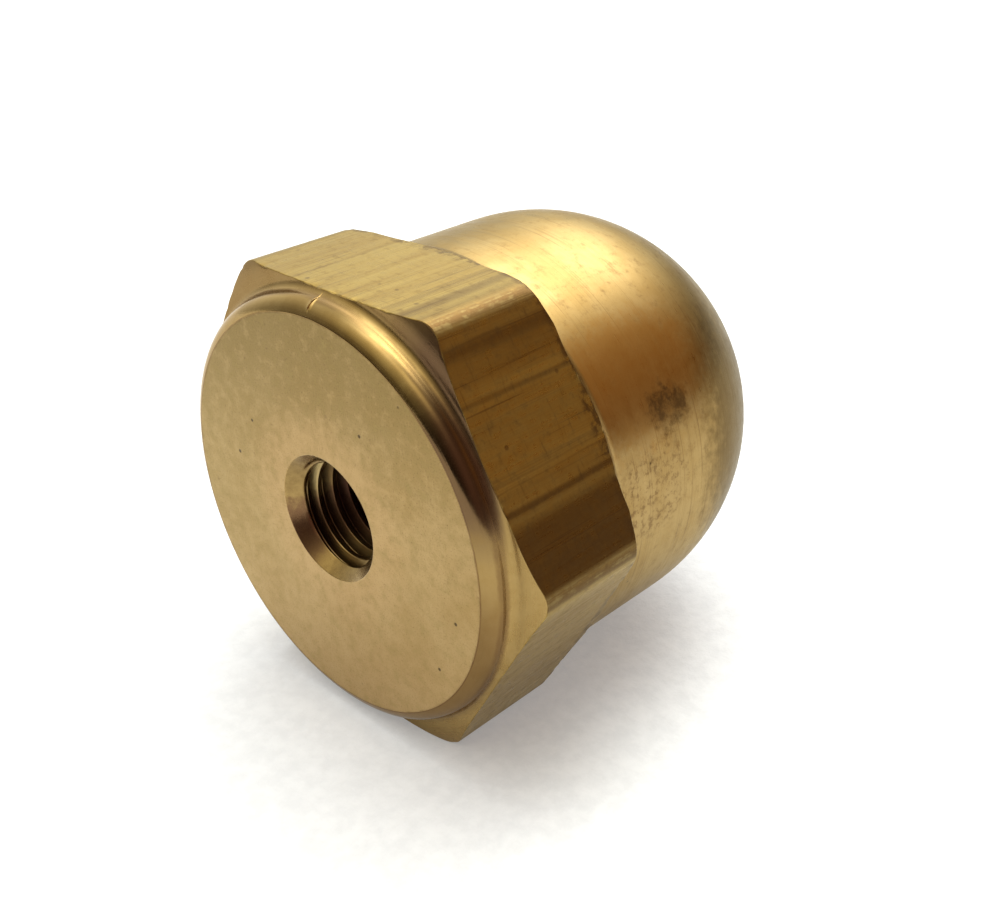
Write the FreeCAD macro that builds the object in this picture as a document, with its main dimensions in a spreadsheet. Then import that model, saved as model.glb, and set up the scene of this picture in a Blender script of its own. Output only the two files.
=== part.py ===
"""Domed hexagon cap: one piece turned from brass hexagon bar, with a sealing disc in its blind tapped bore.

Frame: +Y runs along the cap's axis from the flat face to the dome, and +Z is up. The origin is where
the axis meets the flat face. The cap lies on one flat of its hexagon, as it does on a table.
Lengths are in millimetres and angles in degrees.
"""
import FreeCAD, Part
import math
import os
import Sketcher

SHEET = "Sizes"

SIZES = {
    # Drawn hexagon bar
    "AcrossFlats": 36.0,
    "BarCornerRadius": 2.2,
    "BarLength": 44.0,
    # Flat face and the rounded bead around it
    "FaceRadius": 16.4,
    "BeadRadius": 1.15,
    "FrontCoveRadius": 0.8,
    # Hexagon collar, chamfered where its corners meet the turned ends
    "CollarFront": 1.98,
    "CollarBack": 12.65,
    "FrontChamferRadius": 19.35,
    "BackChamferRadius": 19.35,
    "ChamferAngle": 30.0,
    # Turned barrel and its spherical end
    "BarrelRadius": 17.8,
    "BackCoveRadius": 1.25,
    "BarrelEnd": 23.7,
    # Blind tapped bore, M10 x 1.5: countersunk mouth, minor diameter, relief groove behind the thread
    "MouthRadius": 5.25,
    "MinorRadius": 4.188,
    "ThreadDepth": 18.0,
    "ReliefRadius": 5.2,
    "BoreDepth": 22.0,
    # Sealing disc, held at the bottom of the bore by the thread in front of it
    "SealRadius": 5.05,
    "SealThickness": 2.0,
    # How far the turning tool's outlines reach past the bar
    "Overrun": 2.0,
    "SwingRadius": 24.0,
}

START, END, CENTRE = 1, 2, 3
ORIGIN = (-1, 1)


def amount(expression):
    """Value of a sum of sizes written as words, such as 'FaceRadius + BeadRadius'."""
    total = 0.0
    sign = 1.0
    for word in expression.split():
        if word in "+-":
            sign = -1.0 if word == "-" else 1.0
        elif word != "0":
            total += sign * SIZES[word]
    return total


def bound(expression):
    """The same sum, written for the expression engine."""
    words = [f"{SHEET}.{word}" if word in SIZES else word for word in expression.split()]
    return " ".join(words)


def add_sheet(document):
    sheet = document.addObject("Spreadsheet::Sheet", SHEET)
    for row, (alias, value) in enumerate(SIZES.items(), start=1):
        sheet.set(f"A{row}", alias)
        sheet.set(f"B{row}", str(value))
        sheet.setAlias(f"B{row}", alias)
    return sheet


def add_body(document, name):
    body = document.addObject("PartDesign::Body", name)
    body.Label = name
    return body


def add_sketch(body, name, role):
    """A sketch on one of the body's own origin planes, named by its role."""
    plane = next(feature for feature in body.Origin.OriginFeatures if feature.Role == role)
    sketch = body.newObject("Sketcher::SketchObject", name)
    sketch.AttachmentSupport = [(plane, "")]
    sketch.MapMode = "FlatFace"
    return sketch


def dimension(sketch, kind, reference, expression, value):
    """A driving dimension whose value follows the sheet."""
    index = sketch.addConstraint(Sketcher.Constraint(kind, *reference, value))
    sketch.setExpression(f"Constraints[{index}]", expression)


def locate(sketch, geometry, point, axial, radial):
    """Dimensions a sketch point from the origin; '0' puts it on the sketch's axis."""
    for kind, expression, axis in (("DistanceX", axial, -2), ("DistanceY", radial, -1)):
        if expression == "0":
            sketch.addConstraint(Sketcher.Constraint("PointOnObject", geometry, point, axis))
        elif expression:
            reference = (*ORIGIN, geometry, point)
            dimension(sketch, kind, reference, bound(expression), amount(expression))


def draw_hexagon(sketch, across_flats):
    """A hexagon with two flats level, held by a construction circle that touches its sides."""
    corner_radius = amount(across_flats) / math.sqrt(3)
    corners = [
        FreeCAD.Vector(math.cos(k * math.pi / 3), math.sin(k * math.pi / 3), 0) * corner_radius
        for k in range(6)
    ]
    sides = [sketch.addGeometry(Part.LineSegment(corners[k], corners[(k + 1) % 6])) for k in range(6)]
    circle = Part.Circle(FreeCAD.Vector(), FreeCAD.Vector(0, 0, 1), amount(across_flats) / 2)
    touching = sketch.addGeometry(circle, True)
    sketch.addConstraint(Sketcher.Constraint("Coincident", touching, CENTRE, *ORIGIN))
    dimension(sketch, "Diameter", (touching,), bound(across_flats), amount(across_flats))
    for k in range(6):
        sketch.addConstraint(Sketcher.Constraint("Coincident", sides[k], END, sides[(k + 1) % 6], START))
        sketch.addConstraint(Sketcher.Constraint("Tangent", sides[k], touching))
    for side in sides[1:]:
        sketch.addConstraint(Sketcher.Constraint("Equal", sides[0], side))
    sketch.addConstraint(Sketcher.Constraint("Horizontal", sides[1]))


def arc_between(start, end, centre):
    """The shorter arc from start to end around centre, and whether it keeps that direction."""
    radius = (start - centre).Length
    first = math.atan2(start.y - centre.y, start.x - centre.x)
    last = math.atan2(end.y - centre.y, end.x - centre.x)
    forward = (last - first) % (2 * math.pi) < math.pi
    low, high = (first, last) if forward else (last, first)
    circle = Part.Circle(centre, FreeCAD.Vector(0, 0, 1), radius)
    return Part.ArcOfCircle(circle, low, high), forward


def draw_section(sketch, corners, arcs, slopes):
    """A closed half section, axial distance across and radius up, each corner dimensioned.

    corners holds (axial, radial) sums of sizes. arcs maps a side to the axial and radial sums of
    its centre. slopes maps a side to its lean away from square, in degrees per unit of
    ChamferAngle; the corner where that side ends gives None as its axial distance.
    """
    points = []
    for index, (axial, radial) in enumerate(corners):
        if axial is None:
            lean = slopes[index - 1] * math.tan(math.radians(amount("ChamferAngle")))
            before = points[-1]
            x = before.x + lean * (amount(radial) - before.y)
        else:
            x = amount(axial)
        points.append(FreeCAD.Vector(x, amount(radial), 0))

    sides = []
    for index, start in enumerate(points):
        end = points[(index + 1) % len(points)]
        if index in arcs:
            centre = FreeCAD.Vector(amount(arcs[index][0]), amount(arcs[index][1]), 0)
            arc, forward = arc_between(start, end, centre)
            geometry = sketch.addGeometry(arc)
            sides.append((geometry, START, END) if forward else (geometry, END, START))
        else:
            sides.append((sketch.addGeometry(Part.LineSegment(start, end)), START, END))

    for index, (geometry, first, last) in enumerate(sides):
        following, following_first, _ = sides[(index + 1) % len(sides)]
        joint = Sketcher.Constraint("Coincident", geometry, last, following, following_first)
        sketch.addConstraint(joint)
        axial, radial = corners[index]
        locate(sketch, geometry, first, axial, radial)
        if index in arcs:
            locate(sketch, geometry, CENTRE, arcs[index][0], None)
        if index in slopes:
            angle = f"(90 - {slopes[index]} * {SHEET}.ChamferAngle) * 1 deg"
            value = math.radians(90 - slopes[index] * amount("ChamferAngle"))
            dimension(sketch, "Angle", (geometry,), angle, value)


def turn_away(body, name, corners, arcs=None, slopes=None):
    """Cuts a half section out of the body all round its Y axis."""
    sketch = add_sketch(body, f"{name}_section", "YZ_Plane")
    draw_section(sketch, corners, arcs or {}, slopes or {})
    groove = body.newObject("PartDesign::Groove", name)
    groove.Profile = sketch
    groove.ReferenceAxis = (sketch, ["H_Axis"])
    groove.Angle = 360.0
    return groove


def extrude(body, name, sketch, length):
    """Pads a sketch on the XZ plane towards +Y."""
    pad = body.newObject("PartDesign::Pad", name)
    pad.Profile = sketch
    pad.setExpression("Length", bound(length))
    pad.Reversed = True
    return pad


def round_bar_corners(document, body, bar):
    """Rounds the drawn bar's six long corners."""
    document.recompute()
    names = []
    for number, edge in enumerate(bar.Shape.Edges, start=1):
        direction = edge.tangentAt(edge.FirstParameter)
        if abs(direction.y) > 0.999:
            names.append(f"Edge{number}")
    fillet = body.newObject("PartDesign::Fillet", "bar_corners")
    fillet.Base = (bar, names)
    fillet.setExpression("Radius", bound("BarCornerRadius"))
    return fillet


def build_cap(document):
    """Hexagon bar, turned at the front to the beaded face, at the back to the barrel and dome, then bored."""
    body = add_body(document, "cap_body")
    hexagon = add_sketch(body, "bar_hexagon", "XZ_Plane")
    draw_hexagon(hexagon, "AcrossFlats")
    bar = extrude(body, "bar", hexagon, "BarLength")
    round_bar_corners(document, body, bar)

    turn_away(
        body,
        "front_turning",
        corners=[
            ("0", "FaceRadius"),
            ("BeadRadius", "FaceRadius + BeadRadius"),
            ("CollarFront - FrontCoveRadius", "FaceRadius + BeadRadius"),
            ("CollarFront", "FaceRadius + BeadRadius + FrontCoveRadius"),
            ("CollarFront", "FrontChamferRadius"),
            (None, "SwingRadius"),
            ("0 - Overrun", "SwingRadius"),
            ("0 - Overrun", "FaceRadius"),
        ],
        arcs={
            0: ("BeadRadius", "FaceRadius"),
            2: ("CollarFront - FrontCoveRadius", "FaceRadius + BeadRadius + FrontCoveRadius"),
        },
        slopes={4: 1},
    )
    turn_away(
        body,
        "back_turning",
        corners=[
            ("BarrelEnd + BarrelRadius", "0"),
            ("BarrelEnd", "BarrelRadius"),
            ("CollarBack + BackCoveRadius", "BarrelRadius"),
            ("CollarBack", "BarrelRadius + BackCoveRadius"),
            ("CollarBack", "BackChamferRadius"),
            (None, "SwingRadius"),
            ("BarLength + Overrun", "SwingRadius"),
            ("BarLength + Overrun", "0"),
        ],
        arcs={
            0: ("BarrelEnd", "0"),
            2: ("CollarBack + BackCoveRadius", "BarrelRadius + BackCoveRadius"),
        },
        slopes={4: -1},
    )
    turn_away(
        body,
        "tapped_bore",
        corners=[
            ("0 - Overrun", "0"),
            ("0 - Overrun", "MouthRadius + Overrun"),
            ("MouthRadius - MinorRadius", "MinorRadius"),
            ("ThreadDepth", "MinorRadius"),
            ("ThreadDepth + ReliefRadius - MinorRadius", "ReliefRadius"),
            ("BoreDepth", "ReliefRadius"),
            ("BoreDepth", "0"),
        ],
    )
    return body


def build_seal(document):
    """Flat round disc on the floor of the bore."""
    body = add_body(document, "seal_disc")
    sketch = add_sketch(body, "disc_circle", "XZ_Plane")
    circle = Part.Circle(FreeCAD.Vector(), FreeCAD.Vector(0, 0, 1), SIZES["SealRadius"])
    geometry = sketch.addGeometry(circle)
    sketch.addConstraint(Sketcher.Constraint("Coincident", geometry, CENTRE, *ORIGIN))
    dimension(sketch, "Radius", (geometry,), bound("SealRadius"), SIZES["SealRadius"])
    extrude(body, "disc", sketch, "SealThickness")
    body.setExpression("Placement.Base.y", bound("BoreDepth - SealThickness"))
    return body


def check_document(document, bodies):
    """Stops before anything is written if a feature failed or cut nothing."""
    for item in document.Objects:
        if "Invalid" in item.State or "Error" in item.State:
            raise RuntimeError(f"{item.Name} failed: {item.State}")
        if item.isDerivedFrom("Sketcher::SketchObject") and not item.FullyConstrained:
            raise RuntimeError(f"{item.Name} is not fully constrained")
        if item.isDerivedFrom("PartDesign::Groove") and item.Shape.Volume > item.BaseFeature.Shape.Volume - 1.0:
            raise RuntimeError(f"{item.Name} cut nothing")
    for body in bodies:
        shape = body.Shape
        if shape.isNull() or not shape.isValid() or len(shape.Solids) != 1:
            raise RuntimeError(f"{body.Label} is not one valid solid")


def main():
    document = FreeCAD.newDocument("domed_hexagon_cap")
    add_sheet(document)
    document.recompute()
    bodies = [build_cap(document), build_seal(document)]
    document.recompute()
    check_document(document, bodies)

    os.makedirs("parts", exist_ok=True)
    for body in bodies:
        body.Shape.exportStep(f"parts/{body.Label}.step")
        box = body.Shape.optimalBoundingBox()
        corners = (box.XMin, box.YMin, box.ZMin, box.XMax, box.YMax, box.ZMax)
        print(body.Label, round(body.Shape.Volume, 1), [round(value, 3) for value in corners])


main()
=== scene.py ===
"""A domed hexagon pipe cap in brass: its detailed mesh, materials, floor, light and camera.

Lengths are millimetres, apart from the floor's, and MM turns them into the scene's metres. The cap's axis is
+Y, from the flat face at y = 0 to the dome. Angles round the axis start at +X and grow towards +Z.
"""
import math

import bmesh
import bpy
import numpy as np
from mathutils import Matrix, Vector


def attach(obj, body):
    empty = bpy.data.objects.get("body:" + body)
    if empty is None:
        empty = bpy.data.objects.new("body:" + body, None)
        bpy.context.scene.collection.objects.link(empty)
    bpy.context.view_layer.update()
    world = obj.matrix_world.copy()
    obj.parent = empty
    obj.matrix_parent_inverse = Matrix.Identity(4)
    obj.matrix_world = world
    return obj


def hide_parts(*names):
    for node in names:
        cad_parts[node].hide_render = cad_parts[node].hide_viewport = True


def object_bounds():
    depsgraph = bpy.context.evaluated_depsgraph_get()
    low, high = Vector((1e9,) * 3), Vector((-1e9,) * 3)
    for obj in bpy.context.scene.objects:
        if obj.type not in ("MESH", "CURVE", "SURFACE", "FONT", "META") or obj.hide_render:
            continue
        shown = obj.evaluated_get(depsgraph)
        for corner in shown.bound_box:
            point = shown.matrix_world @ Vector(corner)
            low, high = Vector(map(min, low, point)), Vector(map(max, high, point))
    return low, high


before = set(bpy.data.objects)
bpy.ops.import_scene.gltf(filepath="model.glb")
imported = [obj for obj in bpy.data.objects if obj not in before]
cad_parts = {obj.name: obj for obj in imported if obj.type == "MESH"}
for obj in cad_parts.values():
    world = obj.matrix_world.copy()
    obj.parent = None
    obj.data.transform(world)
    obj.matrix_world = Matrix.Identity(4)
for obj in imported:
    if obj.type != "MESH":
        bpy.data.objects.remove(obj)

MM = 0.001
CAD_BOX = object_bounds()

# The drawn hexagon bar: half its width across flats, its corners' radius, and the radius of the hexagon's
# cut edges.
HALF_FLATS = 18.0
CORNER_RADIUS = 2.2
EDGE = 0.045

# Radii of the flat disc, the bead round it and the boss that the bead ends at.
FACE = 16.4
BEAD = 1.15
BOSS = FACE + BEAD

# The collar: the cove, height and lean of its front, and the height and corner chamfer of its back.
FRONT_COVE = 0.8
FRONT = 1.98
FRONT_CROWN = 0.13
BACK = 12.65
CHAMFER_START = 19.35
CHAMFER_SLOPE = math.tan(math.radians(30.0))

# The barrel's radius, the cove at its foot, and its end, which is the centre of the dome.
BARREL = 17.8
BACK_COVE = 1.25
BARREL_END = 23.7

# The hole: its mouth's radius, an M10 x 1.5 thread, and the relief behind it. The shares are parts of a
# pitch, and the thread fades in behind the countersink's mouth.
MOUTH = 5.25
MINOR = 4.188
MAJOR = 5.0
PITCH = 1.5
FIRST_CREST = 2.41
CREST_SHARE = 0.25
FLANK_SHARE = 0.3125
FADE_START = 0.60
FADE_LENGTH = 0.40
THREAD_TOP = 0.10
THREAD_END = 18.0
RELIEF = 5.2
BORE_END = 22.0

# The bead's profile: its tilt at the disc, how far it turns, and how late it does.
BEAD_TILT = 20.0
BEAD_TURN = 62.0
BEAD_EASE = 1.25

# The nick across the bead: where it is, the height and width in degrees of its cut and its two burrs, where
# it fades in outside the disc, and the share of its depth that it also takes off the radius.
NICK_ANGLE = 90.3
NICK_DEPTH = 0.10
NICK_WIDTH = 0.13
BURR_HEIGHT = 0.05
BURR_OFFSET = 0.34
BURR_WIDTH = 0.13
NICK_FADE = (0.45, 0.7)
NICK_RADIAL = 0.5

# Small dents along the hexagon's edges: how many, their ranges of width in degrees and of depth, and the
# shares of that depth along the axis and off the radius of the front surface, the bar and the back surface.
DENTS = 60
DENT_WIDTHS = (0.35, 0.95)
DENT_DEPTHS = (0.02, 0.12)
DENT_AXIAL = 0.4
DENT_FRONT = 0.6
DENT_BAR = 0.9
DENT_BACK = 0.8
FRONT_DENT_SEED = 3
BACK_DENT_SEED = 4

# Waves across the bar from the die: waves per millimetre, times 2 pi, and height. The last number lowers
# the surface, so that the waves' tops stay inside the nominal hexagon.
DIE_WAVES = ((0.35, 0.010), (0.8, 0.006), (1.7, 0.003), (3.1, 0.0016))
DIE_SEED = 7
DIE_DROP = 0.045

# The mesh's columns and rows. The first row lies a lap inside the disc's edge.
CORNER_COLUMNS = 14
FLAT_COLUMNS = 58
CORNER_HALF_ANGLE = 3.4
NICK_COLUMNS = 12
NICK_HALF_ANGLE = 0.45
FACE_LAP = 0.02
BEAD_COUNT = 12
FRONT_SHARES = (0.004, 0.018, 0.05, 0.10, 0.17, 0.26, 0.38, 0.52, 0.66, 0.8, 0.9, 0.96, 0.985, 1.0)
EDGE_TURNS = (30, 60)
BAR_SHARES = (0, 0.005, 0.02, *np.linspace(0.05, 0.95, 22), 0.98, 0.995, 1.0)
BACK_SHARES = (0.0, 0.08, 0.35, 0.7)
BACK_COVE_COUNT = 12
BARREL_COUNT = 18
DOME_COUNT = 46
DOME_ANGLES = (88, 0.6)
THREAD_PHASES = (0.0, 0.02, 0.12, 0.23, 0.25, 0.28, 0.36, 0.46, 0.54, 0.5625, 0.59, 0.66, 0.6875, 0.72, 0.8,
                 0.9, 0.97)
FIRST_TURN = -3
MOUTH_DEPTHS = (0.02, 0.045, 0.07)

# Rings of the flat face, as a radius and how many columns become one there.
FACE_RINGS = ((16.2, 1), (15.2, 1), (13.4, 1), (11.4, 1), (9.6, 2), (7.8, 2), (6.4, 1), (5.5, 1),
              (MOUTH + 0.07, 1), (MOUTH + 0.02, 1))

FACE_SLOT, RIM_SLOT, BAR_SLOT, DOME_SLOT, BORE_SLOT = range(5)


def column_angles():
    """The angles of the mesh's columns in degrees, closer together round each corner and at the nick."""
    angles = []
    for corner in range(0, 360, 60):
        start, end = corner - CORNER_HALF_ANGLE, corner + CORNER_HALF_ANGLE
        angles += list(np.linspace(start, end, CORNER_COLUMNS, endpoint=False))
        angles += list(np.linspace(end, corner + 60 - CORNER_HALF_ANGLE, FLAT_COLUMNS, endpoint=False))
    angles += list(np.linspace(NICK_ANGLE - NICK_HALF_ANGLE, NICK_ANGLE + NICK_HALF_ANGLE, NICK_COLUMNS))
    return np.array(sorted(angles))


def bar_radius(theta):
    """Distance from the axis to the rounded hexagon at each angle."""
    away = np.radians(np.abs(theta - 60.0 * np.round(theta / 60.0)))
    flat = HALF_FLATS / np.cos(math.radians(30.0) - away)
    centre = (HALF_FLATS - CORNER_RADIUS) / math.cos(math.radians(30.0))
    inside = np.maximum(CORNER_RADIUS ** 2 - (centre * np.sin(away)) ** 2, 0.0)
    arc = centre * np.cos(away) + np.sqrt(inside)
    contact = math.atan2(CORNER_RADIUS * 0.5, centre + CORNER_RADIUS * math.cos(math.radians(30.0)))
    return np.where(away < contact, arc, flat)


def die_lines(theta, radius):
    """The drawn bar's flats are not quite flat: shallow waves across them, the same all along the bar."""
    random = np.random.RandomState(DIE_SEED)
    x = radius * np.cos(np.radians(theta))
    z = radius * np.sin(np.radians(theta))
    wave = np.zeros_like(theta)
    for size, amount in DIE_WAVES:
        for _ in range(4):
            turn = random.uniform(0, 2 * math.pi)
            phase = random.uniform(0, 2 * math.pi)
            wave += amount * np.sin(size * (x * math.cos(turn) + z * math.sin(turn)) + phase)
    return wave - DIE_DROP


def dents(theta, seed):
    """Depth at each angle of the small dents along one end of the hexagon's edge."""
    random = np.random.RandomState(seed)
    depth = np.zeros_like(theta)
    for _ in range(DENTS):
        middle = random.uniform(0.0, 360.0)
        width = random.uniform(*DENT_WIDTHS)
        amount = random.uniform(*DENT_DEPTHS)
        away = (theta - middle + 180.0) % 360.0 - 180.0
        depth += amount * np.exp(-(away / width) ** 2)
    return depth


def nick(theta):
    """Depth at each angle of the nick across the bead, with a raised burr along both sides."""
    away = np.abs(theta - NICK_ANGLE)
    cut = NICK_DEPTH * np.exp(-(away / NICK_WIDTH) ** 2)
    return cut - BURR_HEIGHT * np.exp(-((away - BURR_OFFSET) / BURR_WIDTH) ** 2)


def front_height(radius):
    """Height of the collar's front surface: out of the cove, then leaning back towards the corners."""
    cove_end = BOSS + FRONT_COVE
    inside = np.clip(cove_end - radius, 0.0, FRONT_COVE)
    cove = FRONT - FRONT_COVE + np.sqrt(FRONT_COVE ** 2 - inside ** 2)
    return cove + FRONT_CROWN * np.maximum(radius - cove_end, 0.0) ** 2


def bead_profile():
    """Points of the bead, which leaves the disc at a slight crease and rolls over to the boss."""
    share = np.linspace(0.0, 1.0, 200)
    tilt = np.radians(BEAD_TILT + BEAD_TURN * share ** BEAD_EASE)
    r = np.concatenate(([0.0], np.cumsum(np.cos(tilt))))
    y = np.concatenate(([0.0], np.cumsum(np.sin(tilt))))
    at = np.concatenate(([0.0, 0.015, 0.05], np.linspace(0.1, 1.0, BEAD_COUNT)))
    r = np.interp(at, np.linspace(0.0, 1.0, len(r)), r / r[-1])
    y = np.interp(at, np.linspace(0.0, 1.0, len(y)), y / y[-1])
    return list(zip(BEAD * y, FACE + BEAD * r))


def bead_rows(theta):
    """Rows of the bead, with the nick across its outer part."""
    rows = []
    for y, r in bead_profile():
        cut = nick(theta) * np.interp(r, (FACE + NICK_FADE[0], FACE + NICK_FADE[1]), (0.0, 1.0))
        rows.append((y + cut, r - NICK_RADIAL * cut, RIM_SLOT))
    return rows


def front_rows(theta, bar, front_dents):
    """Rows of the collar's front surface, from the boss out to the bar's edge."""
    rows = []
    for share in FRONT_SHARES:
        r = BOSS + (bar - EDGE - BOSS) * share
        loss = front_dents * np.interp(share, (0.96, 1.0), (0.0, DENT_FRONT))
        y = front_height(r) + DENT_AXIAL * loss + nick(theta) * (1.0 - share) ** 2
        rows.append((y, r - loss, RIM_SLOT))
    return rows


def bar_rows(bar, front_dents, back_dents):
    """Rows of the hexagon bar: its front edge, its flats and its back edge."""
    rows = []
    top = front_height(bar)
    for turn in EDGE_TURNS:
        a = math.radians(turn)
        y = top + EDGE * (1 - math.cos(a)) + DENT_AXIAL * front_dents
        rows.append((y, bar - EDGE * (1 - math.sin(a)) - DENT_BAR * front_dents, BAR_SLOT))
    start = top + EDGE
    end = back_height(bar) - EDGE
    for share in BAR_SHARES:
        loss = front_dents * np.interp(share, (0.0, 0.03), (DENT_BAR, 0.0))
        loss = loss + back_dents * np.interp(share, (0.97, 1.0), (0.0, DENT_BAR))
        rows.append((start + (end - start) * share, bar - loss, BAR_SLOT))
    for turn in EDGE_TURNS:
        a = math.radians(turn)
        rows.append((end + EDGE * math.sin(a), bar - EDGE * (1 - math.cos(a)) - back_dents, BAR_SLOT))
    return rows


def back_height(radius):
    """Height of the collar's back surface: a cove up from the barrel, then flat, then leaning forward."""
    from_centre = np.clip(BARREL + BACK_COVE - radius, 0.0, BACK_COVE)
    cove = BACK + BACK_COVE - np.sqrt(BACK_COVE ** 2 - from_centre ** 2)
    return cove - CHAMFER_SLOPE * np.maximum(radius - CHAMFER_START, 0.0)


def back_rows(outermost):
    """Rows of the back surface, inward from the bar's edge and round the cove on to the barrel."""
    rows = []
    first = np.arcsin(np.clip((BARREL + BACK_COVE - outermost) / BACK_COVE, 0.0, 1.0))
    flat = np.maximum(outermost - (BARREL + BACK_COVE), 0.0)
    for share in BACK_SHARES:
        on_cove = BARREL + BACK_COVE - BACK_COVE * np.sin(first + 0.02 * share)
        r = np.where(flat > 0, outermost - flat * share, on_cove)
        rows.append((back_height(r), r, DOME_SLOT))
    for share in np.linspace(0.06, 1.0, BACK_COVE_COUNT):
        angle = first + (math.pi / 2 - first) * share
        r = BARREL + BACK_COVE * (1 - np.sin(angle))
        y = BACK + BACK_COVE * (1 - np.cos(angle))
        rows.append((y, r, DOME_SLOT))
    return rows


def barrel_rows():
    """Rows of the barrel and of the round dome that it ends in, nearly to the dome's tip."""
    rows = [(y, BARREL, DOME_SLOT) for y in np.linspace(BACK + BACK_COVE, BARREL_END, BARREL_COUNT)[1:]]
    for a in np.radians(np.linspace(*DOME_ANGLES, DOME_COUNT)):
        rows.append((BARREL_END + BARREL * math.cos(a), BARREL * math.sin(a), DOME_SLOT))
    return rows


def outer_rows(theta):
    """Every row of the outside, from the face's rim to the dome's tip, as (y, r, slot)."""
    bar = bar_radius(theta)
    bar = bar + die_lines(theta, bar)
    front_dents = dents(theta, FRONT_DENT_SEED)
    back_dents = dents(theta, BACK_DENT_SEED)
    rows = [(0.0, FACE - FACE_LAP, FACE_SLOT)]
    rows += bead_rows(theta)
    rows += front_rows(theta, bar, front_dents)
    rows += bar_rows(bar, front_dents, back_dents)
    rows += back_rows(bar - EDGE - DENT_BACK * back_dents)
    rows += barrel_rows()
    return rows


def thread_radius(theta, y):
    """Distance from the axis to the wall of the countersunk, tapped hole, with a right-hand thread."""
    turn = (y - FIRST_CREST) / PITCH - (180.0 - theta) / 360.0
    phase = turn - np.floor(turn)
    rise = np.clip((phase - CREST_SHARE) / FLANK_SHARE, 0.0, 1.0)
    fall = np.clip((1.0 - phase) / FLANK_SHARE, 0.0, 1.0)
    fade = np.clip((y - FADE_START) / FADE_LENGTH, 0.0, 1.0)
    wall = MINOR + (MAJOR - MINOR) * np.minimum(rise, fall) * fade
    return np.maximum(wall, MOUTH - y)


class Rings:
    """Collects vertices and faces of a closed mesh that is made of rings round the axis."""

    def __init__(self):
        self.points = []
        self.faces = []
        self.slots = []

    def ring(self, theta, y, r):
        """Adds one ring of vertices and gives their numbers."""
        a = np.radians(theta)
        y = np.broadcast_to(y, a.shape)
        r = np.broadcast_to(r, a.shape)
        first = len(self.points)
        self.points.extend(zip(r * np.cos(a) * MM, y * MM, r * np.sin(a) * MM))
        return list(range(first, first + len(a)))

    def face(self, corners, slot):
        """Adds one face, without repeated corners."""
        kept = [c for i, c in enumerate(corners) if c != corners[i - 1]]
        if len(set(kept)) > 2:
            self.faces.append(kept)
            self.slots.append(slot)

    def bridge(self, a, b, slot):
        """Joins ring a to ring b, which has as many vertices or half as many."""
        step = len(a) // len(b)
        for i, low in enumerate(b):
            high = b[(i + 1) % len(b)]
            run = [a[(i * step + k) % len(a)] for k in range(step + 1)]
            if step == 1:
                self.face((run[0], run[1], high, low), slot)
            else:
                self.face((run[0], run[1], low), slot)
                self.face((run[1], high, low), slot)
                self.face((run[1], run[2], high), slot)

    def fan(self, ring, y, slot):
        """Closes a ring with a point on the axis."""
        self.points.append((0.0, y * MM, 0.0))
        tip = len(self.points) - 1
        for i, corner in enumerate(ring):
            self.face((corner, ring[(i + 1) % len(ring)], tip), slot)

    def build(self, name, materials):
        """Makes the object, with every face turned outward and shaded smooth."""
        mesh = bpy.data.meshes.new(name)
        mesh.from_pydata(self.points, [], self.faces)
        for material in materials:
            mesh.materials.append(material)
        mesh.polygons.foreach_set("material_index", self.slots)
        bm = bmesh.new()
        bm.from_mesh(mesh)
        loose = [v for v in bm.verts if not v.link_faces]
        bmesh.ops.delete(bm, geom=loose, context="VERTS")
        bmesh.ops.recalc_face_normals(bm, faces=bm.faces)
        bm.to_mesh(mesh)
        bm.free()
        mesh.polygons.foreach_set("use_smooth", [True] * len(mesh.polygons))
        mesh.update()
        piece = bpy.data.objects.new(name, mesh)
        bpy.context.collection.objects.link(piece)
        return piece


def add_thread(rings, theta, mouth_ring):
    """The tapped hole: rows follow the thread's helix and are cut off level at both ends."""
    edge = mouth_ring
    for depth in MOUTH_DEPTHS:
        deeper = rings.ring(theta, depth, MOUTH - depth)
        rings.bridge(edge, deeper, BORE_SLOT)
        edge = deeper
    level_top = rings.ring(theta, THREAD_TOP, MOUTH - THREAD_TOP)
    level_bottom = rings.ring(theta, THREAD_END, thread_radius(theta, THREAD_END))
    rings.bridge(edge, level_top, BORE_SLOT)
    lift = PITCH * (180.0 - theta) / 360.0
    turns = int(math.ceil((THREAD_END - FIRST_CREST) / PITCH)) + 1
    rows = []
    for turn in range(FIRST_TURN, turns):
        for phase in THREAD_PHASES:
            y = FIRST_CREST + PITCH * (turn + phase) + lift
            numbers = rings.ring(theta, y, thread_radius(theta, y))
            numbers = [t if v <= THREAD_TOP else n for n, t, v in zip(numbers, level_top, y)]
            rows.append([b if v >= THREAD_END else n for n, b, v in zip(numbers, level_bottom, y)])
    wrap = len(THREAD_PHASES)
    last = len(theta) - 1
    for j in range(len(rows) - 1):
        for i in range(last):
            rings.face((rows[j][i], rows[j][i + 1], rows[j + 1][i + 1], rows[j + 1][i]), BORE_SLOT)
        if j + wrap + 1 < len(rows):
            a, b = j + wrap, j + wrap + 1
            rings.face((rows[a][last], rows[j][0], rows[j + 1][0], rows[b][last]), BORE_SLOT)
    chamfer = rings.ring(theta, THREAD_END + RELIEF - MINOR, RELIEF)
    corner = rings.ring(theta, BORE_END, RELIEF)
    rings.bridge(level_bottom, chamfer, BORE_SLOT)
    rings.bridge(chamfer, corner, BORE_SLOT)
    rings.fan(corner, BORE_END, BORE_SLOT)


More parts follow.
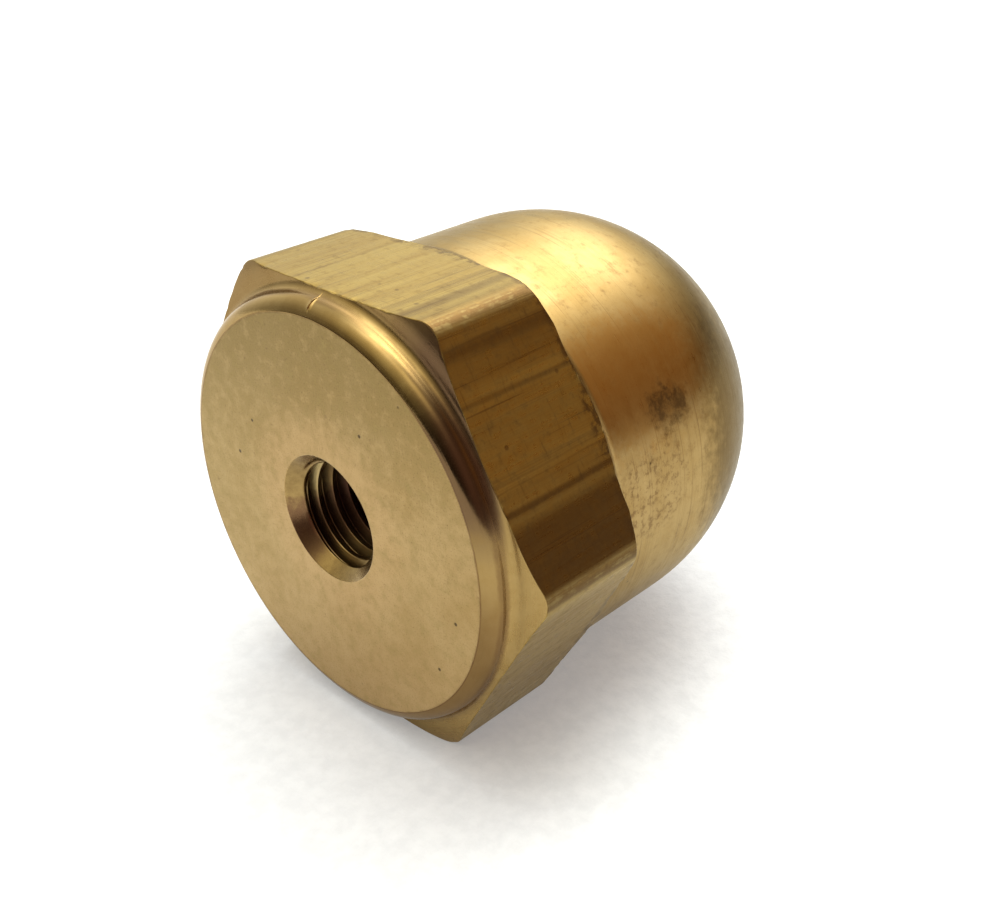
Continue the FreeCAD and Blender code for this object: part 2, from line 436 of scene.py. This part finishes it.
def cap_mesh(materials):
    """The whole brass cap as one closed mesh."""
    theta = column_angles()
    rings = Rings()
    rows = outer_rows(theta)
    numbers = [rings.ring(theta, y, r) for y, r, _ in rows]
    for i in range(1, len(rows)):
        rings.bridge(numbers[i - 1], numbers[i], rows[i][2])
    rings.fan(numbers[-1], BARREL_END + BARREL, DOME_SLOT)
    inner = numbers[0]
    angles = theta
    for radius, thin in FACE_RINGS:
        angles = angles[::thin]
        ring = rings.ring(angles, 0.0, radius)
        rings.bridge(inner, ring, FACE_SLOT)
        inner = ring
    add_thread(rings, angles, inner)
    return rings.build("cap_brass", materials)


class Graph:
    """A material's nodes, made and linked by short calls. Positions are millimetres in the object's frame."""

    def __init__(self, name):
        self.material = bpy.data.materials.new(name)
        self.material.use_nodes = True
        self.tree = self.material.node_tree
        self.shader = self.tree.nodes["Principled BSDF"]
        place = self.tree.nodes.new("ShaderNodeTexCoord").outputs["Object"]
        self.place = self.vector("SCALE", place, scale=1.0 / MM)
        split = self.tree.nodes.new("ShaderNodeSeparateXYZ")
        self.link(self.place, split.inputs[0])
        self.x, self.y, self.z = split.outputs
        self.radius = self.math("SQRT", self.math("ADD", self.math("MULTIPLY", self.x, self.x),
                                                  self.math("MULTIPLY", self.z, self.z)))
        self.angle = self.math("ARCTAN2", self.z, self.x)

    def link(self, value, socket):
        """Links a socket, or sets a plain number or colour."""
        if isinstance(value, bpy.types.NodeSocket):
            self.tree.links.new(value, socket)
        else:
            socket.default_value = value

    def vector(self, operation, a, b=None, scale=None):
        """A vector operation on one or two vectors."""
        node = self.tree.nodes.new("ShaderNodeVectorMath")
        node.operation = operation
        self.link(a, node.inputs[0])
        if b is not None:
            self.link(b, node.inputs[1])
        if scale is not None:
            self.link(scale, node.inputs["Scale"])
        return node.outputs["Vector"]

    def math(self, operation, a, b=None, c=None):
        """An operation on one to three numbers."""
        node = self.tree.nodes.new("ShaderNodeMath")
        node.operation = operation
        for value, socket in zip((a, b, c), node.inputs):
            if value is not None:
                self.link(value, socket)
        return node.outputs[0]

    def combine(self, x, y, z):
        """A vector of three numbers."""
        node = self.tree.nodes.new("ShaderNodeCombineXYZ")
        for value, socket in zip((x, y, z), node.inputs):
            self.link(value, socket)
        return node.outputs[0]

    def noise(self, place, scale, detail, roughness):
        """Noise from 0 to 1, with scale in features per unit of place."""
        node = self.tree.nodes.new("ShaderNodeTexNoise")
        self.link(place, node.inputs["Vector"])
        node.inputs["Scale"].default_value = scale
        node.inputs["Detail"].default_value = detail
        node.inputs["Roughness"].default_value = roughness
        return node.outputs["Fac"]

    def span(self, value, low, high, to_low=0.0, to_high=1.0):
        """Maps low..high of a value smoothly to to_low..to_high."""
        node = self.tree.nodes.new("ShaderNodeMapRange")
        node.interpolation_type = "SMOOTHSTEP"
        for socket, number in zip(node.inputs[:5], (value, low, high, to_low, to_high)):
            self.link(number, socket)
        return node.outputs[0]

    def voronoi(self, place, scale):
        """Distance from the nearest of scattered points, and a number from 0 to 1 drawn for that point."""
        node = self.tree.nodes.new("ShaderNodeTexVoronoi")
        self.link(place, node.inputs["Vector"])
        node.inputs["Scale"].default_value = scale
        split = self.tree.nodes.new("ShaderNodeSeparateColor")
        self.link(node.outputs["Color"], split.inputs[0])
        return node.outputs["Distance"], split.outputs[0]

    def specks(self, scale, size, share):
        """Scattered round marks, each up to size across, in a share of the cells of a net of that scale."""
        distance, draw = self.voronoi(self.place, scale)
        near = self.span(distance, 0.3 * size * scale, 0.6 * size * scale, 1.0, 0.0)
        return self.math("MULTIPLY", near, self.math("LESS_THAN", draw, share))

    def band(self, value, middle, half, soft):
        """1 near the middle, falling to 0 at half the band's width away, over a soft share of that."""
        away = self.math("ABSOLUTE", self.math("SUBTRACT", value, middle))
        return self.span(away, half * (1.0 - soft), half, 1.0, 0.0)

    def blot(self, middle, size, ragged):
        """A ragged patch about a point, with its half sizes along x, y and z."""
        offset = self.vector("SUBTRACT", self.place, middle)
        offset = self.vector("DIVIDE", offset, size)
        length = self.tree.nodes.new("ShaderNodeVectorMath")
        length.operation = "LENGTH"
        self.link(offset, length.inputs[0])
        wander = self.math("MULTIPLY_ADD", self.noise(self.place, 1.1, 4.0, 0.65), ragged, -0.5 * ragged)
        return self.span(self.math("ADD", length.outputs["Value"], wander), 0.55, 1.1, 1.0, 0.0)

    def times(self, value, amount):
        """The product of two numbers."""
        return self.math("MULTIPLY", value, amount)

    def across(self, flat):
        """Position across the flat that faces an angle in degrees, and 1 on that flat but 0 on the others."""
        c, s = math.cos(math.radians(flat)), math.sin(math.radians(flat))
        along = self.math("ADD", self.times(self.z, c), self.times(self.x, -s))
        out = self.math("ADD", self.times(self.x, c), self.times(self.z, s))
        return along, self.span(out, HALF_FLATS - 0.7, HALF_FLATS - 0.4)

    def mix(self, share, a, b):
        """Colour a, with a share of colour b over it."""
        node = self.tree.nodes.new("ShaderNodeMix")
        node.data_type = "RGBA"
        self.link(share, node.inputs[0])
        self.link(a if isinstance(a, bpy.types.NodeSocket) else (*a, 1.0), node.inputs[6])
        self.link(b if isinstance(b, bpy.types.NodeSocket) else (*b, 1.0), node.inputs[7])
        return node.outputs[2]

    def bump(self, height, distance):
        """A normal bent by a height from 0 to about 1, which stands for that distance."""
        node = self.tree.nodes.new("ShaderNodeBump")
        node.inputs["Strength"].default_value = 1.0
        node.inputs["Distance"].default_value = distance * MM
        self.link(height, node.inputs["Height"])
        return node.outputs[0]

    def stretched(self, across, along):
        """Position scaled by one number across the bar's length and another along it."""
        return self.combine(self.math("MULTIPLY", self.x, across), self.math("MULTIPLY", self.y, along),
                            self.math("MULTIPLY", self.z, across))

    def turned(self, fine, around):
        """Position on a turned surface: fine across the tool's lines, slow around them."""
        across = self.math("MULTIPLY", self.radius, fine)
        along = self.math("MULTIPLY", self.y, fine)
        return self.combine(across, along, self.math("MULTIPLY", self.angle, around))

    def finish(self, colour, roughness, normal, metallic=1.0, edge=(1.0, 1.0, 1.0)):
        """Connects the shader. The edge colour is what a metal reflects at a glancing angle."""
        self.link(colour, self.shader.inputs["Base Color"])
        self.shader.inputs["Specular Tint"].default_value = (*edge, 1.0)
        self.link(roughness, self.shader.inputs["Roughness"])
        self.shader.inputs["Metallic"].default_value = metallic
        self.link(normal, self.shader.inputs["Normal"])
        return self.material


FACE_BRASS = (0.386, 0.256, 0.096)
FACE_PALE = (0.440, 0.303, 0.128)
FACE_OLIVE = (0.355, 0.259, 0.094)
FACE_BROWN = (0.194, 0.131, 0.038)
FACE_PINK = (0.482, 0.317, 0.139)
RIM_BRASS = (0.300, 0.194, 0.066)
RIM_PALE = (0.350, 0.236, 0.088)
BAR_BRASS = (0.345, 0.235, 0.064)
BAR_DULL = (0.285, 0.180, 0.045)
# Dark brown: drawn streaks, dirt and a smudge, and painted shade in the broad bands over the bar's corners
# and the flat that faces 30 degrees.
BAR_STREAK_AND_SHADE = (0.095, 0.052, 0.018)
DOME_BRASS = (0.328, 0.213, 0.075)
DOME_PALE = (0.382, 0.262, 0.105)
# Dark brown painted shade on the dome's end.
DOME_PAINTED_SHADE = (0.138, 0.084, 0.028)
# Orange-brown painted dark reflection on the barrel.
DOME_PAINTED_REFLECTION = (0.330, 0.165, 0.036)
# Dark brown: tarnish and dirt in most places, and painted shade on the collar's upper front and the bead's
# lower part.
TARNISH_AND_SHADE = (0.120, 0.058, 0.022)
PIT = (0.050, 0.028, 0.012)
# Paler brass: wear and painted glints on the bar's corners.
WORN_AND_GLINT = (0.400, 0.310, 0.120)
# Purple-brown painted dark reflection on the bead and collar.
RIM_PAINTED_REFLECTION = (0.095, 0.052, 0.031)
# Dark brown painted shade and dark reflection in the hole.
BORE_PAINTED_SHADE = (0.120, 0.054, 0.034)
# Pale painted highlight on the first thread crest.
THREAD_PAINTED_HIGHLIGHT = (0.580, 0.440, 0.200)

# Dark bands along the bar, partly tarnish and partly painted shade: the broad dark bands on the flat that
# faces 30 degrees and the bands over the rounded corners at 0 and 60 degrees darken reflections there. Each
# band gives the angle that the flat faces, the band's middle and half width across the flat, and how dark it
# is.
BAR_BANDS = (
    (30.0, 8.00, 0.95, 0.74),
    (30.0, 7.00, 2.20, 0.36),
    (30.0, 4.40, 0.32, 0.50),
    (30.0, 1.80, 1.60, 0.16),
    (30.0, -0.90, 0.10, 0.25),
    (30.0, -1.30, 0.12, 0.30),
    (30.0, -1.75, 0.12, 0.30),
    (30.0, -3.40, 0.45, 0.80),
    (30.0, -5.20, 2.00, 0.70),
    (30.0, -8.00, 4.20, 0.85),
    (30.0, 10.3, 2.00, 0.98),
    (30.0, -10.6, 2.00, 0.95),
    (-30.0, 10.4, 1.40, 0.90),
    (90.0, -10.2, 2.00, 0.96),
    (90.0, 9.60, 0.80, 0.22),
    (90.0, 3.95, 0.30, 0.22),
    (90.0, -5.90, 0.50, 0.30),
    (90.0, -7.60, 1.00, 0.62),
)


def face_material():
    """The faced-off disc: matt, cloudy, paler and pinker round the hole, with fine grain and dark pits."""
    g = Graph("brass_face")
    cloud = g.noise(g.place, 0.14, 5.0, 0.62)
    mottle = g.noise(g.place, 0.85, 6.0, 0.72)
    grain = g.noise(g.place, 7.0, 3.0, 0.7)
    colour = g.mix(g.span(cloud, 0.36, 0.64), FACE_BRASS, FACE_PALE)
    # More olive towards -x. Browner towards the top and pinker towards the bottom, partly tarnish and partly
    # painted reflection.
    side = g.math("MULTIPLY_ADD", mottle, 12.0, g.x)
    colour = g.mix(g.span(side, -10.0, 10.0, 0.45, 0.0), colour, FACE_OLIVE)
    upper = g.math("MULTIPLY_ADD", mottle, 9.0, g.z)
    colour = g.mix(g.span(upper, 3.0, 22.0, 0.0, 0.75), colour, FACE_BROWN)
    colour = g.mix(g.span(upper, -11.0, 2.0, 0.40, 0.0), colour, FACE_PINK)
    ring = g.span(g.math("MULTIPLY_ADD", mottle, 3.0, g.radius), 7.5, 11.5, 0.55, 0.0)
    colour = g.mix(ring, colour, FACE_PINK)
    colour = g.mix(g.span(mottle, 0.46, 0.72, 0.0, 0.60), colour, FACE_OLIVE)
    colour = g.mix(g.span(mottle, 0.26, 0.52, 0.32, 0.0), colour, FACE_PALE)
    colour = g.mix(g.span(grain, 0.52, 0.74, 0.0, 0.52), colour, TARNISH_AND_SHADE)
    smear = g.span(g.noise(g.place, 1.4, 5.0, 0.7), 0.60, 0.76, 0.0, 0.50)
    colour = g.mix(smear, colour, TARNISH_AND_SHADE)
    pits = g.specks(0.45, 0.34, 0.34)
    colour = g.mix(g.times(pits, 0.85), colour, PIT)
    crease = g.span(g.math("MULTIPLY_ADD", mottle, 0.30, g.radius), 16.36, 16.60, 0.0, 0.45)
    colour = g.mix(crease, colour, TARNISH_AND_SHADE)
    rough = g.span(mottle, 0.3, 0.7, 0.42, 0.54)
    lines = g.noise(g.turned(7.0, 0.6), 1.0, 3.0, 0.6)
    height = g.math("MULTIPLY_ADD", pits, -1.5, g.math("ADD", lines, g.times(grain, 0.7)))
    return g.finish(colour, rough, g.bump(height, 0.006))


def rim_material():
    """The turned bead, cove and corner surfaces: bright, with tool lines and dirt kept in the cove, painted
    dark reflections on the upper right and the collar's top, and painted shade low on the bead.
    """
    g = Graph("brass_rim")
    lines = g.noise(g.turned(9.0, 0.4), 1.0, 3.0, 0.6)
    cloud = g.noise(g.place, 0.5, 5.0, 0.65)
    grain = g.noise(g.place, 5.0, 4.0, 0.7)
    colour = g.mix(g.span(cloud, 0.3, 0.7), RIM_BRASS, RIM_PALE)
    colour = g.mix(g.span(lines, 0.62, 0.80, 0.0, 0.22), colour, TARNISH_AND_SHADE)
    colour = g.mix(g.span(grain, 0.62, 0.80, 0.0, 0.30), colour, TARNISH_AND_SHADE)
    wander = g.math("MULTIPLY_ADD", cloud, 0.30, g.radius)
    cove = g.times(g.band(wander, BOSS + 0.16, 0.18, 0.8), g.span(cloud, 0.25, 0.6, 0.15, 0.5))
    colour = g.mix(g.times(cove, g.span(g.z, -14.0, -6.0, 0.3, 1.0)), colour, TARNISH_AND_SHADE)
    crease = g.times(g.band(g.radius, FACE + 0.02, 0.09, 0.8), g.span(cloud, 0.35, 0.62, 0.2, 0.7))
    colour = g.mix(crease, colour, TARNISH_AND_SHADE)
    pits = g.specks(0.60, 0.28, 0.34)
    colour = g.mix(g.times(pits, 0.8), colour, PIT)
    duller = g.span(g.radius, BOSS - 0.25, BOSS + 0.15, 0.0, 0.14)
    outside = g.span(g.radius, BOSS + 0.1, BOSS + 0.8)
    # Painted dark reflection: the collar's front surfaces outside the boss darken towards the top.
    colour = g.mix(g.times(outside, g.span(g.z, 2.0, 9.0, 0.0, 0.40)), colour, TARNISH_AND_SHADE)
    # Painted dark reflection: a purple-brown band across the bead and collar on the upper right.
    around = g.math("ADD", g.math("MULTIPLY_ADD", outside, -0.28, g.angle), g.times(cloud, 0.16))
    colour = g.mix(g.times(g.band(around, 0.64, 0.46, 0.7), 0.80), colour, RIM_PAINTED_REFLECTION)
    # Painted shade: the bead darkens towards its lower side.
    below = g.times(g.span(g.radius, BOSS - 0.1, BOSS + 0.2, 1.0, 0.0), g.span(g.z, -4.0, 5.0, 0.58, 0.0))
    colour = g.mix(below, colour, TARNISH_AND_SHADE)
    rough = g.math("ADD", g.span(g.math("ADD", lines, cloud), 0.6, 1.4, 0.10, 0.20), duller)
    height = g.math("MULTIPLY_ADD", pits, -1.2, g.math("ADD", lines, g.times(grain, 0.5)))
    return g.finish(colour, rough, g.bump(height, 0.004), edge=(0.88, 0.82, 0.74))


def bar_material():
    """The drawn hexagon: fine lines along the bar, dark bands that are partly tarnish and partly painted
    shade, dirt at its back end, and paler corners that are partly wear and partly painted glints.
    """
    g = Graph("brass_bar")
    streak = g.noise(g.stretched(4.0, 0.04), 1.0, 4.0, 0.7)
    broad = g.noise(g.stretched(0.45, 0.03), 1.0, 3.0, 0.6)
    mottle = g.noise(g.place, 1.1, 5.0, 0.68)
    chatter = g.noise(g.stretched(0.5, 4.0), 1.0, 3.0, 0.7)
    colour = g.mix(g.span(broad, 0.35, 0.65), BAR_BRASS, BAR_DULL)
    colour = g.mix(g.span(streak, 0.45, 0.85, 0.0, 0.50), colour, BAR_STREAK_AND_SHADE)
    colour = g.mix(g.span(mottle, 0.50, 0.74, 0.0, 0.50), colour, BAR_STREAK_AND_SHADE)
    colour = g.mix(g.span(chatter, 0.54, 0.74, 0.0, 0.38), colour, BAR_STREAK_AND_SHADE)
    score = g.span(g.noise(g.stretched(6.0, 0.09), 1.0, 2.0, 0.5), 0.60, 0.68)
    scored = g.times(score, g.span(broad, 0.4, 0.6, 0.1, 0.6))
    colour = g.mix(scored, colour, BAR_STREAK_AND_SHADE)
    wander = g.math("MULTIPLY_ADD", g.noise(g.stretched(0.5, 0.12), 1.0, 3.0, 0.6), 0.34, -0.17)
    # The bands darken the flats: tarnish, and painted shade where they are broad or over the corners.
    for flat in sorted({band[0] for band in BAR_BANDS}):
        along, here = g.across(flat)
        along = g.math("ADD", along, wander)
        for _, middle, half, dark in [band for band in BAR_BANDS if band[0] == flat]:
            share = g.times(g.times(g.band(along, middle, half, 0.9), here), dark)
            colour = g.mix(g.times(share, g.span(mottle, 0.2, 0.6, 0.7, 1.0)), colour, BAR_STREAK_AND_SHADE)
    lean = g.times(g.math("MAXIMUM", g.math("SUBTRACT", g.radius, CHAMFER_START), 0.0), -CHAMFER_SLOPE)
    back = g.math("SUBTRACT", g.math("ADD", lean, BACK), g.y)
    dirt = g.times(g.span(back, 0.10, 0.75, 1.0, 0.0), g.span(mottle, 0.42, 0.58, 0.0, 0.8))
    colour = g.mix(dirt, colour, BAR_STREAK_AND_SHADE)
    spots = g.specks(0.60, 0.42, 0.30)
    colour = g.mix(g.times(spots, 0.6), colour, BAR_STREAK_AND_SHADE)
    # Paler patches along the rounded corners: partly wear and partly painted glints.
    streak_and_mottle = g.math("ADD", streak, mottle)
    worn_and_glint = g.times(g.span(g.radius, 20.18, 20.36), g.span(streak_and_mottle, 0.94, 1.16, 0.0, 0.24))
    colour = g.mix(worn_and_glint, colour, WORN_AND_GLINT)
    rough = g.span(streak_and_mottle, 0.6, 1.4, 0.24, 0.42)
    height = g.math("ADD", streak, g.times(g.math("ADD", mottle, chatter), 0.5))
    return g.finish(colour, rough, g.bump(height, 0.010), edge=(0.98, 0.93, 0.80))


def dome_material():
    """The turned barrel and dome: tool lines round the axis, a patch of dark speckles, one dark smudge,
    painted shade towards the dome's end and a painted orange-brown reflection on the barrel.
    """
    g = Graph("brass_dome")
    lines = g.noise(g.turned(8.0, 0.8), 1.0, 4.0, 0.65)
    scratches = g.noise(g.turned(5.0, 1.6), 1.0, 2.0, 0.5)
    cloud = g.noise(g.place, 0.20, 5.0, 0.62)
    mottle = g.noise(g.place, 1.0, 5.0, 0.70)
    grain = g.noise(g.place, 5.0, 3.0, 0.7)
    colour = g.mix(g.span(cloud, 0.35, 0.65), DOME_BRASS, DOME_PALE)
    colour = g.mix(g.span(mottle, 0.52, 0.76, 0.0, 0.45), colour, TARNISH_AND_SHADE)
    colour = g.mix(g.span(grain, 0.58, 0.78, 0.0, 0.40), colour, TARNISH_AND_SHADE)
    colour = g.mix(g.span(lines, 0.56, 0.74, 0.0, 0.38), colour, TARNISH_AND_SHADE)
    colour = g.mix(g.span(scratches, 0.62, 0.72, 0.0, 0.50), colour, TARNISH_AND_SHADE)
    # Painted shade: the dome darkens towards its tip, and in a patch on its +x side near the end.
    painted_end_shade = g.math("MULTIPLY_ADD", mottle, 5.0, g.y)
    colour = g.mix(g.span(painted_end_shade, 29.5, 37.5, 0.0, 0.50), colour, DOME_PAINTED_SHADE)
    colour = g.mix(g.times(g.blot((14.5, 31.0, 1.0), (7.5, 8.5, 12.0), 0.7), 0.92), colour, DOME_PAINTED_SHADE)
    # Painted dark reflection: an orange-brown patch on the barrel's upper +x side.
    colour = g.mix(g.times(g.blot((14.6, 18.5, 10.0), (4.5, 9.5, 7.0), 0.9), 0.62), colour, DOME_PAINTED_REFLECTION)
    smudge = g.times(g.blot((16.3, 20.8, 7.1), (1.9, 2.6, 2.3), 1.6), g.span(mottle, 0.32, 0.60, 0.15, 0.85))
    colour = g.mix(smudge, colour, BAR_STREAK_AND_SHADE)
    patch = g.blot((17.7, 17.2, 1.6), (3.0, 5.2, 4.6), 1.2)
    patch = g.times(patch, g.span(g.noise(g.place, 1.9, 4.0, 0.65), 0.46, 0.66, 0.05, 0.62))
    colour = g.mix(patch, colour, TARNISH_AND_SHADE)
    pits = g.specks(0.42, 0.28, 0.30)
    colour = g.mix(g.times(pits, 0.75), colour, PIT)
    rough = g.span(g.math("ADD", lines, mottle), 0.6, 1.4, 0.26, 0.42)
    height = g.math("MULTIPLY_ADD", pits, -1.2, g.math("ADD", lines, g.times(scratches, 0.8)))
    return g.finish(colour, rough, g.bump(height, 0.006), edge=(0.76, 0.74, 0.66))


def bore_material():
    """The countersink and thread: cut metal at the mouth, a painted highlight on the first crest's upper
    side, a painted dark reflection low on the -x side and painted shade deeper in the hole.
    """
    g = Graph("brass_bore")
    lines = g.noise(g.turned(12.0, 0.5), 1.0, 3.0, 0.6)
    mottle = g.noise(g.place, 1.6, 4.0, 0.65)
    colour = g.mix(g.span(mottle, 0.35, 0.7, 0.0, 0.3), RIM_PALE, TARNISH_AND_SHADE)
    # Painted dark reflection: purple-brown low on the -x side of the countersink and thread.
    around = g.math("MULTIPLY_ADD", mottle, 0.5, g.angle)
    painted_reflection = g.times(g.band(around, -2.30, 0.75, 0.6), 0.75)
    colour = g.mix(painted_reflection, colour, BORE_PAINTED_SHADE)
    # Painted highlight: the hole's first turn of thread is paler on its upper side.
    painted_highlight = g.times(g.band(g.y, 2.3, 1.0, 0.6), g.span(g.z, -1.0, 1.5, 0.0, 0.85))
    colour = g.mix(painted_highlight, colour, THREAD_PAINTED_HIGHLIGHT)
    # Painted shade: darker brown deeper in the hole.
    colour = g.mix(g.span(g.y, 2.2, 6.5), colour, BORE_PAINTED_SHADE)
    rough = g.span(g.y, 0.8, 5.0, 0.26, 0.48)
    return g.finish(colour, rough, g.bump(g.math("ADD", lines, g.times(mottle, 0.5)), 0.005))


def seal_material():
    """The seal disc's black rubber."""
    g = Graph("seal_rubber")
    grain = g.noise(g.place, 3.0, 3.0, 0.6)
    colour = g.mix(grain, (0.012, 0.012, 0.013), (0.030, 0.029, 0.028))
    return g.finish(colour, g.span(grain, 0.3, 0.7, 0.55, 0.75), g.bump(grain, 0.02), metallic=0.0)


# The floor: half its width in metres, the paper's two tones, and its glow.
FLOOR_HALF = 1.5
PAPER = (0.570, 0.575, 0.595)
PAPER_PALE = (0.645, 0.650, 0.670)
FLOOR_GLOW = 0.262
FLOOR_GLOW_COLOUR = (0.92, 0.96, 1.0)


def floor_material():
    """Plain pale paper, with a weak glow that lifts its shaded parts."""
    g = Graph("floor_paper")
    grain = g.noise(g.place, 0.55, 5.0, 0.68)
    colour = g.mix(g.span(grain, 0.3, 0.7), PAPER, PAPER_PALE)
    g.shader.inputs["Emission Color"].default_value = (*FLOOR_GLOW_COLOUR, 1.0)
    g.shader.inputs["Emission Strength"].default_value = FLOOR_GLOW
    return g.finish(colour, 0.8, g.bump(grain, 0.12), metallic=0.0)


def add_floor():
    """A wide sheet under the flat that the cap lies on."""
    low = CAD_BOX[0][2]
    mesh = bpy.data.meshes.new("floor")
    corners = [(x * FLOOR_HALF, y * FLOOR_HALF, low) for x, y in ((-1, -1), (1, -1), (1, 1), (-1, 1))]
    mesh.from_pydata(corners, [], [(0, 1, 2, 3)])
    mesh.materials.append(floor_material())
    floor = bpy.data.objects.new("floor", mesh)
    bpy.context.collection.objects.link(floor)


# The camera: its lens and sensor width, the point it aims at, and where it is from there.
LENS = 45.1
SENSOR = 36.0
CAMERA_AIM = (1.248, 17.555, -1.631)
CAMERA_AZIMUTH = 44.851
CAMERA_ELEVATION = 28.361
CAMERA_ROLL = -1.689
CAMERA_DISTANCE = 106.428


def direction(azimuth, elevation):
    """A unit vector towards an azimuth, 0 being -Y and 90 being +X, and an elevation in degrees."""
    a, e = math.radians(azimuth), math.radians(elevation)
    return math.sin(a) * math.cos(e), -math.cos(a) * math.cos(e), math.sin(e)


def add_camera():
    """The camera at the photograph's viewing angle."""
    data = bpy.data.cameras.new("camera")
    data.sensor_fit = "HORIZONTAL"
    data.sensor_width = SENSOR
    data.lens = LENS
    data.clip_start = 0.005
    data.clip_end = 10.0
    camera = bpy.data.objects.new("camera", data)
    back = Vector(direction(CAMERA_AZIMUTH, CAMERA_ELEVATION))
    place = Vector(CAMERA_AIM) * MM + back * (CAMERA_DISTANCE * MM)
    turn = back.to_track_quat("Z", "Y").to_matrix().to_4x4()
    roll = Matrix.Rotation(math.radians(CAMERA_ROLL), 4, "Z")
    camera.matrix_world = Matrix.Translation(place) @ turn @ roll
    bpy.context.collection.objects.link(camera)
    bpy.context.scene.camera = camera


# The soft lights round the cap: azimuth, elevation, focus, strength and colour. A light fades from its
# middle, the faster the higher its focus.
LIGHTS = (
    (238.0, 4.0, 9.0, 0.30, (0.97, 1.00, 0.98)),
    (262.0, 6.0, 9.0, 0.70, (0.97, 1.00, 1.00)),
    (284.0, 4.0, 9.0, 0.35, (0.97, 1.00, 0.97)),
    (212.0, 22.0, 12.0, 0.30, (0.98, 1.00, 0.96)),
    (252.0, 24.0, 9.0, 0.42, (0.96, 0.99, 1.00)),
    (202.0, 29.0, 16.0, 1.20, (0.98, 1.00, 0.95)),
    (200.0, 66.0, 34.0, 5.90, (0.95, 1.00, 0.93)),
    (255.0, 79.0, 40.0, 6.60, (0.96, 1.00, 0.95)),
    (150.0, 78.0, 44.0, 4.20, (0.97, 1.00, 0.95)),
    (330.0, 66.0, 34.0, 2.40, (1.00, 1.00, 0.98)),
    (188.0, 47.0, 30.0, 2.80, (1.00, 1.00, 0.95)),
    (218.0, 44.0, 30.0, 2.20, (1.00, 1.00, 0.96)),
    (200.0, 46.0, 9.0, 0.60, (0.95, 1.00, 0.98)),
    (186.0, 57.0, 20.0, 1.10, (1.00, 1.00, 0.96)),
    (242.0, 46.0, 9.0, 0.55, (0.94, 0.98, 1.00)),
    (284.0, 46.0, 10.0, 0.62, (1.00, 0.98, 0.90)),
    (338.0, 42.0, 12.0, 0.95, (0.98, 0.94, 0.70)),
    (30.0, 62.0, 20.0, 1.30, (1.00, 0.95, 0.75)),
    (318.0, 24.0, 9.0, 0.10, (1.00, 0.70, 0.30)),
    (125.0, 22.0, 9.0, 0.38, (1.00, 0.56, 0.24)),
    (156.0, 34.0, 16.0, 0.42, (1.00, 0.62, 0.22)),
    (60.0, 26.0, 6.0, 0.34, (1.00, 0.62, 0.55)),
)

# The light from everywhere else, and what the camera sees behind the floor.
ROOM_DIM = (0.020, 0.013, 0.009)
BACKDROP = (1.0, 1.0, 1.0)


class World:
    """The soft lights, as glows on a far sphere. The camera itself sees plain white there."""

    def __init__(self):
        self.world = bpy.data.worlds.new("studio")
        self.world.use_nodes = True
        self.tree = self.world.node_tree
        self.direction = self.tree.nodes.new("ShaderNodeTexCoord").outputs["Generated"]

    def node(self, kind, operation, **inputs):
        """Adds a node; inputs are named in0, in1, ... and are numbers or sockets."""
        node = self.tree.nodes.new(kind)
        node.operation = operation
        for name, value in inputs.items():
            socket = node.inputs[int(name[2:])]
            if isinstance(value, bpy.types.NodeSocket):
                self.tree.links.new(value, socket)
            else:
                socket.default_value = value
        return node

    def glow(self, azimuth, elevation, focus, strength, colour):
        """The colour that one light adds, by direction."""
        middle = direction(azimuth, elevation)
        near = self.node("ShaderNodeVectorMath", "DOT_PRODUCT", in0=self.direction, in1=middle)
        near = near.outputs["Value"]
        fall = self.node("ShaderNodeMath", "MULTIPLY_ADD", in0=near, in1=focus, in2=-focus).outputs[0]
        share = self.node("ShaderNodeMath", "EXPONENT", in0=fall).outputs[0]
        tint = tuple(c * strength for c in colour)
        node = self.node("ShaderNodeVectorMath", "SCALE", in0=tint)
        self.tree.links.new(share, node.inputs["Scale"])
        return node.outputs["Vector"]

    def build(self, lights, dim, seen):
        """Adds the lights to a dim all-round colour, and shows the camera the seen colour instead."""
        total = dim
        for light in lights:
            total = self.node("ShaderNodeVectorMath", "ADD", in0=total, in1=self.glow(*light))
            total = total.outputs["Vector"]
        by_camera = self.tree.nodes.new("ShaderNodeLightPath").outputs["Is Camera Ray"]
        mix = self.tree.nodes.new("ShaderNodeMix")
        mix.data_type = "RGBA"
        self.tree.links.new(by_camera, mix.inputs[0])
        self.tree.links.new(total, mix.inputs[6])
        mix.inputs[7].default_value = (*seen, 1.0)
        background = self.tree.nodes["Background"]
        self.tree.links.new(mix.outputs[2], background.inputs["Color"])
        background.inputs["Strength"].default_value = 1.0
        bpy.context.scene.world = self.world


def main():
    """Makes the scene."""
    add_camera()
    cap = cap_mesh([face_material(), rim_material(), bar_material(), dome_material(), bore_material()])
    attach(cap, "root")
    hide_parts("cap_body")
    rubber = seal_material()
    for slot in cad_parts["seal_disc"].material_slots:
        slot.material = rubber
    add_floor()
    World().build(LIGHTS, dim=ROOM_DIM, seen=BACKDROP)
    bpy.context.scene.view_settings.view_transform = "Standard"


main()
